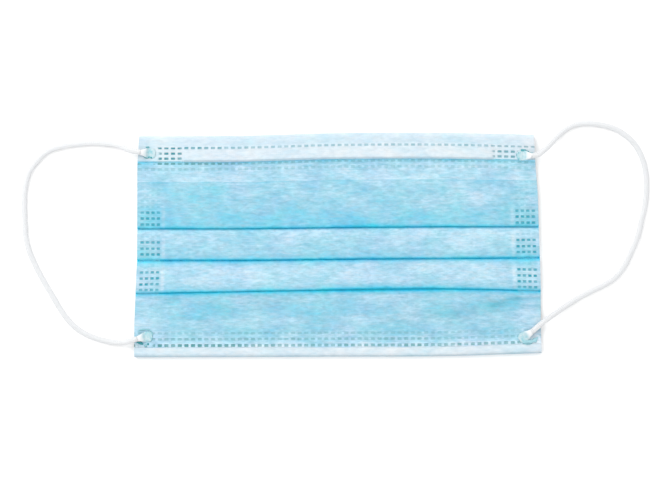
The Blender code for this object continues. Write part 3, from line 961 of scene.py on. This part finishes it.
def nonwoven(name, melt, row_melt, tone=None, uneven=1.0):
    """Spunbond polypropylene: drawn fibres bonded at points, melted to film where it is welded.

    Without a tone of its own, the cloth takes the one stored in its mesh. uneven is how strongly
    its web varies, as a share of the blue sheet's.
    """
    material, tree, shader = new_material(name, CLOTH_ROUGHNESS)
    cloth = add_node(tree, "UVMap", {}, uv_map=CLOTH_UV)
    solid = add_node(tree, "TexCoord", {}).outputs["Object"]

    # Streaks of drawn fibres, clouds where the web is thin or dense, and the single fibres
    webs = []
    for scale, detail, roughness, distortion in WEBS:
        stretched = add_node(tree, "Mapping", {0: cloth, "Scale": scale})
        webs.append(add_node(tree, "TexNoise", {
            0: stretched, "Scale": 1.0, "Detail": detail, "Roughness": roughness,
            "Distortion": distortion}))
    streaks, clouds, fibres = webs

    # Point bonds in a diamond grid, 0.9 mm apart
    waves = []
    for slant in (BOND_WAVES, -BOND_WAVES):
        run = add_node(tree, "VectorMath", {0: cloth, 1: (BOND_WAVES, slant, 0)},
                       operation="DOT_PRODUCT").outputs[1]
        waves.append(add_node(tree, "Math", {0: run}, operation="SINE"))
    dots = add_node(tree, "Math", {0: waves[0], 1: waves[1]}, operation="MULTIPLY")
    bonds = add_node(tree, "MapRange", {0: dots, 1: 0.45, 2: 0.85})

    # Weld dashes across the mask, and in columns down its sides
    across = add_node(tree, "SeparateXYZ", {0: solid}).outputs["X"]
    from_side = add_node(tree, "Attribute", {}, attribute_name="from_side").outputs["Fac"]
    dash_row = add_node(tree, "Attribute", {}, attribute_name="dash_row").outputs["Fac"]
    side_row = add_node(tree, "Attribute", {}, attribute_name="side_row").outputs["Fac"]
    dashes = []
    for place, first, pitch, edge, flat, row in (
            (across, FIRST_DASH_X, DASH_PITCH, DASH_EDGE, DASH_FLAT, dash_row),
            (from_side, SIDE_FIRST, SIDE_PITCH, SIDE_DASH_EDGE, SIDE_DASH_FLAT, side_row)):
        inset = add_node(tree, "Math", {0: place, 1: first}, operation="SUBTRACT")
        away = add_node(tree, "Math", {0: inset, 1: pitch / 2}, operation="PINGPONG")
        dash = add_node(tree, "MapRange", {0: away, 1: edge, 2: flat})
        dashes.append(add_node(tree, "Math", {0: dash, 1: row}, operation="MULTIPLY"))
    both = add_node(tree, "Math", {0: dashes[0], 1: dashes[1]}, operation="ADD")
    spots = add_node(tree, "TexNoise", {0: solid, "Scale": 260.0, "Detail": 1.0})
    patchy = add_node(tree, "MapRange", {0: spots, 1: 0.3, 2: 0.65, 3: 0.75, 4: 1.1})
    weld = add_node(tree, "Math", {0: both, 1: patchy}, operation="MULTIPLY", use_clamp=True)

    # Tone of the cloth, lighter where the web is dense
    if tone is None:
        tone = add_node(tree, "Attribute", {}, attribute_name="tone").outputs["Fac"]
    swings = []
    for web, swing in ((streaks, STREAKS * uneven), (clouds, CLOUDS * uneven)):
        swings.append(add_node(tree, "MapRange", {0: web, 1: 0.25, 2: 0.75, 3: -swing, 4: swing}))
    varied = add_node(tree, "Math", {0: swings[0], 1: swings[1]}, operation="ADD")
    toned = add_node(tree, "Math", {0: tone, 1: varied}, operation="ADD")
    dotted = add_node(tree, "Math", {0: bonds, 1: -0.018, 2: toned}, operation="MULTIPLY_ADD")
    coloured = add_node(tree, "ValToRGB", {0: dotted})
    stops = coloured.color_ramp.elements
    for stop, (place, colour) in enumerate(TONE_COLOURS):
        if stop >= len(stops):
            stops.new(place)
        stops[stop].position = place
        stops[stop].color = linear(colour, SEEN)

    # Uneven dye, the fibres' own brightness, and the painted light and shade stored in the mesh as
    # through, which raise the colour in the shade below the folds and above the bottom strip, and
    # darken the creases and the bottom strip's turned edge
    grain = GRAIN * uneven
    dye = add_node(tree, "TexNoise", {0: solid, "Scale": 95.0, "Detail": 4.0, "Roughness": 0.65})
    tint = add_node(tree, "MapRange", {0: dye, 1: 0.3, 2: 0.7, 3: 0.484, 4: 0.510})
    light = add_node(tree, "MapRange", {0: fibres, 1: 0.3, 2: 0.7, 3: 1 - grain, 4: 1 + grain})
    through = add_node(tree, "Attribute", {}, attribute_name="through").outputs["Fac"]
    value = add_node(tree, "Math", {0: light, 1: through, 2: light}, operation="MULTIPLY_ADD")
    tinted = add_node(tree, "HueSaturation", {"Hue": tint, "Value": value, "Color": coloured})

    # Film in its own colour where the horn has melted the cloth, smoother than fibres
    in_row = add_node(tree, "Math", {0: dash_row, 1: 0.05}, operation="GREATER_THAN")
    melted = add_node(tree, "Mix", {0: in_row, 6: (*melt, 1.0), 7: (*row_melt, 1.0)},
                      data_type="RGBA").outputs[2]
    surface = add_node(tree, "Mix", {0: weld, 6: tinted, 7: melted}, data_type="RGBA")
    tree.links.new(surface.outputs[2], shader.inputs["Base Color"])
    shine = add_node(tree, "MapRange", {0: weld, 3: CLOTH_ROUGHNESS, 4: FILM_ROUGHNESS})
    tree.links.new(shine.outputs[0], shader.inputs["Roughness"])

    # Relief in millimetres: fibres stand up, bonds and welds are pressed in
    raised = add_node(tree, "Math", {0: fibres, 1: 0.12}, operation="MULTIPLY")
    bonded = add_node(tree, "Math", {0: bonds, 1: -0.03, 2: raised}, operation="MULTIPLY_ADD")
    pressed = add_node(tree, "Math", {0: weld, 1: -DENT / MM, 2: bonded}, operation="MULTIPLY_ADD")
    bump = add_node(tree, "Bump", {"Height": pressed, "Distance": MM, "Strength": 1.0})
    tree.links.new(bump.outputs[0], shader.inputs["Normal"])
    return material


def knitted_elastic(name, colour):
    """Elastic cord: a nylon cover knitted in ribs round an elastane core."""
    material, tree, shader = new_material(name, roughness=0.75)
    shader.inputs["Base Color"].default_value = (*colour, 1.0)
    place = add_node(tree, "UVMap", {}, uv_map=CLOTH_UV)
    parts = add_node(tree, "SeparateXYZ", {0: place}).outputs
    rib = add_node(tree, "Math", {0: parts["X"], 1: KNIT_RIB / 2}, operation="PINGPONG")
    slanted = add_node(tree, "Math", {0: rib, 1: 1.1, 2: parts["Y"]}, operation="MULTIPLY_ADD")
    stitch = add_node(tree, "Math", {0: slanted, 1: KNIT_STITCH / 2}, operation="PINGPONG")
    height = add_node(tree, "Math", {0: rib, 1: stitch}, operation="ADD")
    bump = add_node(tree, "Bump", {"Height": height, "Distance": 0.35, "Strength": 1.0})
    tree.links.new(bump.outputs[0], shader.inputs["Normal"])
    return material


def plain_material(name, colour, roughness, ior=1.5):
    """A material of one even colour."""
    material, _, shader = new_material(name, roughness, ior)
    shader.inputs["Base Color"].default_value = (*colour, 1.0)
    return material


def weld_place(weld, gap):
    """A welded end's middle on the mask, and the direction in which its cord leaves."""
    _, side, edge, from_side, from_edge, heading = weld
    inward = -1 if edge == "top_edge" else 1
    across = 0.0 if side < 0 else 1.0
    y = line_y(edge, across) + inward * from_edge
    surface = UPPER if edge == "top_edge" else MIDDLE
    z = surface + SOLID_WALL / 2 + gap
    angle = math.radians(heading)
    place = Vector((float(side_x(side, y)) - side * from_side, y, z))
    return place, Vector((math.cos(angle), math.sin(angle), 0))


def cord_start(weld):
    """Where the cord's middle line starts, one gap off the end's round face."""
    place, heading = weld_place(weld, LAYER_GAP)
    start = place + heading * (END_LENGTH * END_CENTRE + LAYER_GAP)
    start.z += CORD_DIAMETER / 2
    return start


def film_surface(weld, y):
    """Height of the cloth's top face beside a welded end, on the sheet or on a hem."""
    _, side, edge, *_ = weld
    if edge == "top_edge":
        return HEM_TOP
    across = 0.0 if side < 0 else 1.0
    over_hem = line_y("bottom_edge", across) + BOTTOM_HEM_WIDTH - y
    return SHEET_TOP + (HEM_TOP - SHEET_TOP) * float(smooth_step(over_hem / HEM_STEP + 0.5))


def skin(build, rings):
    """Closes rings of vertices into a skin with a face over each end, and returns its faces."""
    faces = []
    for ring, following in zip(rings, rings[1:]):
        for step in range(len(ring)):
            after = (step + 1) % len(ring)
            corners = (ring[step], following[step], following[after], ring[after])
            faces.append(build.faces.new(corners))
    return [*faces, build.faces.new(rings[0]), build.faces.new(reversed(rings[-1]))]


def add_bead(build, film_layer, points, width, depth, weld):
    """Adds a low bead of film along points, thin at both ends, with its depth of colour."""
    centres = smooth_curve(np.array(points) * MM, np.linspace(0, 1, BEAD_STEPS))
    rings = []
    for step, centre in enumerate(centres):
        along = centres[min(step + 1, BEAD_STEPS - 1)] - centres[max(step - 1, 0)]
        along /= np.hypot(*along)
        share = step / (BEAD_STEPS - 1)
        full = min(1.0, BEAD_TAPERS * share, BEAD_TAPERS * (1 - share)) ** 0.5
        ragged = 0.85 + 0.5 * noise.noise(Vector((*(centre * BEAD_LUMPS), depth)))
        half = max(width * MM / 2 * full * ragged, BEAD_LEAST)
        surface = film_surface(weld, centre[1])
        ring = []
        for side in range(BEAD_SIDES):
            angle = 2 * math.pi * side / BEAD_SIDES
            reach = half * math.cos(angle)
            height = math.sin(angle)
            rise = (BEAD_BASE + BEAD_HEIGHT * height) * full if height > 0 else -BEAD_SINK
            vertex = build.verts.new((centre[0] - along[1] * reach, centre[1] + along[0] * reach,
                                      surface + rise))
            vertex[film_layer] = depth
            ring.append(vertex)
        rings.append(ring)
    for face in skin(build, rings):
        face.material_index = 1


def make_loop_end(weld, elastic, film):
    """A cord's end pressed flat by the horn, ridged across, with beads of melted film round it."""
    node, _, edge, _, _, seed = weld
    place, heading = weld_place(weld, LAYER_GAP)
    sideways = Vector((-heading.y, heading.x, 0))
    round_end = place + heading * (END_LENGTH * END_CENTRE + LAYER_GAP)
    sink = place.z - (HEM_TOP if edge == "top_edge" else SHEET_TOP)
    sections = np.array(END_SECTIONS).T
    build = bmesh.new()
    film_layer = build.verts.layers.float.new("film")
    rings = []
    for along in np.linspace(0, 1, END_RINGS):
        width, thickness, corner = (np.interp(along, sections[0], row) for row in sections[1:])
        width = CORD_DIAMETER + (END_WIDTH - CORD_DIAMETER) * width
        thickness = CORD_DIAMETER + (END_THICKNESS - CORD_DIAMETER) * thickness
        flat = smooth_step((along - END_FLAT_FROM) / END_FLAT_RUN)
        ridge = 0.5 + 0.5 * math.cos(2 * math.pi * along * END_LENGTH / END_RIDGE_PITCH)
        centre = round_end - heading * END_LENGTH * along
        ring = []
        for step in range(END_SIDES):
            angle = 2 * math.pi * step / END_SIDES
            reach = math.copysign(abs(math.cos(angle)) ** (2 / corner), math.cos(angle))
            up = math.copysign(abs(math.sin(angle)) ** (2 / corner), math.sin(angle))
            uneven = noise.noise(Vector((along * 9, step * 0.7, seed)))
            ragged = 1 + END_RAGGED * flat * uneven
            lens = (1 + math.sin(angle)) / 2
            pressed = PRESSED_THICKNESS * lens - END_RIDGE * ridge * max(math.sin(angle), 0.0)
            rise = thickness / 2 * (1 + up) * (1 - flat) + (pressed - sink) * flat
            offset = sideways * reach * ragged * width / 2 + Vector((0, 0, rise))
            vertex = build.verts.new(centre + offset)
            vertex[film_layer] = smooth_step((along - END_FUSED_FROM) / END_FUSED_RUN)
            ring.append(vertex)
        rings.append(ring)
    skin(build, rings)
    for width, depth, points in BEADS[node]:
        add_bead(build, film_layer, points, width, depth, weld)
    bmesh.ops.recalc_face_normals(build, faces=build.faces)
    return add_piece(build, node + "_pad", elastic, film)


def make_cord(name, points, diameter, material):
    """A knitted cord: rings of vertices along a smooth curve through the points."""
    coarse = smooth_curve([tuple(point) for point in points],
                          np.linspace(0, 1, CORD_CURVE_STEPS * len(points)))
    steps = np.linalg.norm(np.diff(coarse, axis=0), axis=1)
    along = np.concatenate([[0.0], np.cumsum(steps)])
    length = along[-1]
    rings = round(length / CORD_RING_SPACING)
    places = np.linspace(0, length, rings)
    centres = np.stack([np.interp(places, along, coarse[:, axis]) for axis in range(3)], axis=1)
    build = bmesh.new()
    uv = build.loops.layers.uv.new(CLOTH_UV)
    ring_list = []
    for place, centre in enumerate(centres):
        before = centres[max(place - 1, 0)]
        after = centres[min(place + 1, rings - 1)]
        forward = Vector(after - before).normalized()
        sideways = forward.cross(Vector((0, 0, 1))).normalized()
        up = sideways.cross(forward)
        ring = []
        for step in range(CORD_SIDES):
            angle = 2 * math.pi * step / CORD_SIDES
            lump = noise.noise(
                Vector((places[place] * CORD_LUMPS, math.cos(angle), math.sin(angle))))
            radius = diameter / 2 * (CORD_EVEN + CORD_UNEVEN * lump)
            reach = sideways * math.cos(angle) + up * math.sin(angle)
            ring.append(build.verts.new(Vector(centre) + reach * radius))
        ring_list.append(ring)
    rib = math.pi * diameter / CORD_SIDES
    for place, (ring, following) in enumerate(zip(ring_list, ring_list[1:])):
        for step in range(CORD_SIDES):
            after = (step + 1) % CORD_SIDES
            face = build.faces.new((ring[step], ring[after], following[after], following[step]))
            corners = ((step, 0), (step + 1, 0), (step + 1, 1), (step, 1))
            for loop, (round_it, on) in zip(face.loops, corners):
                loop[uv].uv = (round_it * rib, places[place + on])
    build.faces.new(reversed(ring_list[0]))
    build.faces.new(ring_list[-1])
    bmesh.ops.recalc_face_normals(build, faces=build.faces)
    return add_piece(build, name, material), centres, length


class FACEMASK_OT_cloth(Operator):
    """Lay the pleated sheet of blue and white plies"""
    bl_idname = "facemask.cloth"
    bl_label = "Add Pleated Sheet"

    def execute(self, context):
        sizes = context.scene.face_mask_sizes
        colours = context.scene.face_mask_colours
        blue = nonwoven("blue_spunbond", colours.melt, colours.row_melt)
        lining = nonwoven("white_lining", colours.hem_melt, colours.hem_melt, tone=0.95)
        edge = nonwoven("cut_edge", colours.hem_melt, colours.hem_melt, tone=0.86)
        sheet, length = lay_cloth(SHEET, sheet_section, even_shares(), sheet_rows, sheet_finish)
        give_wall(sheet, sizes.wall, blue, lining, edge)
        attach(sheet, BODY)
        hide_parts("pleated_body")
        context.scene["face_mask_sheet_length"] = float(length)
        return {"FINISHED"}


class FACEMASK_OT_hems(Operator):
    """Fold the white strips over the top and bottom edges, and lay the nose strip"""
    bl_idname = "facemask.hems"
    bl_label = "Add Hems"

    def execute(self, context):
        sizes = context.scene.face_mask_sizes
        colours = context.scene.face_mask_colours
        melt = colours.hem_melt
        white = nonwoven("white_spunbond", melt, melt, uneven=HEM_UNEVEN)
        back = nonwoven("white_spunbond_back", melt, melt, tone=0.93, uneven=HEM_UNEVEN)
        across = even_shares()
        top, _ = lay_cloth("top_hem_strip", top_hem_section, across, hem_rows, hem_finish)
        bottom, _ = lay_cloth(
            "bottom_hem_strip", bottom_hem_section, across, bottom_hem_rows, bottom_hem_finish)
        for hem, node in ((top, "top_hem"), (bottom, "bottom_hem")):
            give_wall(hem, sizes.hem_wall, white, back, back)
            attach(hem, BODY)
            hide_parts(node)
        # White polyethylene coat over a soft wire
        coated = plain_material("wire_coating", linear("#E4E6E8", SEEN)[:3], 0.4)
        wire_y = TOP_EVEN_Y - WIRE_DROP
        left = float(side_x(-1, wire_y))
        width = float(side_x(1, wire_y)) - left
        ends = ((-WIRE_LENGTH / 2 - left) / width, (WIRE_LENGTH / 2 - left) / width)
        columns = np.linspace(*ends, WIRE_COLUMNS)
        wire, _ = lay_cloth("nose_strip", wire_section, columns, plain_rows, plain_finish)
        give_wall(wire, WIRE_THICKNESS, coated, coated, coated)
        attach(wire, BODY)
        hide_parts("nose_wire")
        return {"FINISHED"}


class FACEMASK_OT_ends(Operator):
    """Weld the cords' flattened ends on the mask's corners"""
    bl_idname = "facemask.ends"
    bl_label = "Add Loop Ends"

    def execute(self, context):
        colours = context.scene.face_mask_colours
        # Elastic cord whose fibres have fused under the horn
        elastic, tree, shader = new_material("fused_elastic", roughness=0.55)
        solid = add_node(tree, "TexCoord", {}).outputs["Object"]
        lumps = add_node(tree, "TexNoise", {0: solid, "Scale": 700.0, "Detail": 2.0})
        spread = add_node(tree, "MapRange", {0: lumps, 1: 0.35, 2: 0.65})
        fused = add_node(tree, "Mix", {0: spread, 6: linear("#A2DEEA", SEEN),
                                       7: linear("#D8F0F6", SEEN)}, data_type="RGBA")
        melted = add_node(tree, "Attribute", {}, attribute_name="film").outputs["Fac"]
        fading = add_node(tree, "Mix", {0: melted, 6: (*colours.elastic, 1.0),
                                        7: fused.outputs[2]}, data_type="RGBA")
        tree.links.new(fading.outputs[2], shader.inputs["Base Color"])

        # Polypropylene melted to a film and squeezed out beside it
        film, tree, shader = new_material("melted_film", roughness=0.6)
        depth = add_node(tree, "Attribute", {}, attribute_name="film").outputs["Fac"]
        tint = add_node(tree, "Mix", {0: depth, 6: linear("#AEE4F0", SEEN),
                                      7: linear("#14A0AA", SEEN)}, data_type="RGBA")
        tree.links.new(tint.outputs[2], shader.inputs["Base Color"])
        for weld in WELDS:
            pad = make_loop_end(weld, elastic, film)
            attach(pad, BODY)
            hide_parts(weld[0])
        return {"FINISHED"}


class FACEMASK_OT_loops(Operator):
    """Lay the two elastic ear loops"""
    bl_idname = "facemask.loops"
    bl_label = "Add Ear Loops"

    def execute(self, context):
        sizes = context.scene.face_mask_sizes
        elastic = knitted_elastic("knitted_elastic", context.scene.face_mask_colours.elastic)
        loops = (
            ("ear_loop_left", WELDS[0], WELDS[2], LEFT_ROUTE),
            ("ear_loop_right", WELDS[1], WELDS[3], RIGHT_ROUTE),
        )
        rest = CORD_DIAMETER / 2 + CORD_REST_GAP
        for node, top_weld, bottom_weld, route in loops:
            points = [cord_start(top_weld)]
            points.extend(Vector((x, y, rest + lift)) for x, y, lift in route)
            points.append(cord_start(bottom_weld))
            cord, centres, length = make_cord(node + "_cord", points, sizes.cord, elastic)
            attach(cord, BODY)
            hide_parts(node)
        return {"FINISHED"}


class FACEMASK_OT_stage(Operator):
    """Add the floor, the light and the camera straight above the mask"""
    bl_idname = "facemask.stage"
    bl_label = "Add Stage"

    def execute(self, context):
        scene = context.scene
        height = scene.face_mask_sizes.camera_height
        scene.view_settings.view_transform = "Standard"
        # Matt white paper
        paper = plain_material("floor_paper", scene.face_mask_colours.floor, 0.9)
        build = bmesh.new()
        bmesh.ops.create_grid(build, x_segments=1, y_segments=1, size=FLOOR_HALF)
        floor = add_piece(build, FLOOR, paper)

        world = bpy.data.worlds.new("soft_room")
        world.use_nodes = True
        room = world.node_tree.nodes["Background"].inputs
        room["Color"].default_value = (1.0, 1.0, 1.0, 1.0)
        room["Strength"].default_value = ROOM_LIGHT
        scene.world = world

        lamp = bpy.data.lights.new("window", "AREA")
        lamp.shape = "DISK"
        lamp.size = WINDOW_SIZE
        lamp.energy = WINDOW_POWER
        window_light = bpy.data.objects.new("window", lamp)
        window_light.location = WINDOW_PLACE
        towards = -Vector(WINDOW_PLACE)
        window_light.rotation_euler = towards.to_track_quat("-Z", "Y").to_euler()
        scene.collection.objects.link(window_light)

        lens = bpy.data.cameras.new("above")
        lens.sensor_width = SENSOR_WIDTH
        lens.lens = SENSOR_WIDTH * height / PICTURE_WIDTH
        camera = bpy.data.objects.new("above", lens)
        camera.location = (*PICTURE_MIDDLE, height)
        scene.collection.objects.link(camera)
        scene.camera = camera
        return {"FINISHED"}


class FACEMASK_PT_panel(Panel):
    """Sizes, colours and steps of the face mask"""
    bl_idname = "FACEMASK_PT_panel"
    bl_label = "Face Mask"
    bl_space_type = "VIEW_3D"
    bl_region_type = "UI"
    bl_category = "Face Mask"

    def draw(self, context):
        layout = self.layout
        for group in (context.scene.face_mask_sizes, context.scene.face_mask_colours):
            column = layout.column(align=True)
            for name in group.__annotations__:
                column.prop(group, name)
        for operator in OPERATORS:
            layout.operator(operator.bl_idname)


OPERATORS = (
    FACEMASK_OT_cloth,
    FACEMASK_OT_hems,
    FACEMASK_OT_ends,
    FACEMASK_OT_loops,
    FACEMASK_OT_stage,
)
CLASSES = (FaceMaskSizes, FaceMaskColours, *OPERATORS, FACEMASK_PT_panel)


def register():
    for cls in CLASSES:
        bpy.utils.register_class(cls)
    bpy.types.Scene.face_mask_sizes = PointerProperty(type=FaceMaskSizes)
    bpy.types.Scene.face_mask_colours = PointerProperty(type=FaceMaskColours)


def unregister():
    del bpy.types.Scene.face_mask_colours
    del bpy.types.Scene.face_mask_sizes
    for cls in reversed(CLASSES):
        bpy.utils.unregister_class(cls)


def main():
    register()
    bpy.ops.facemask.cloth()
    bpy.ops.facemask.hems()
    bpy.ops.facemask.ends()
    bpy.ops.facemask.loops()
    bpy.ops.facemask.stage()


if __name__ == "__main__":
    main()
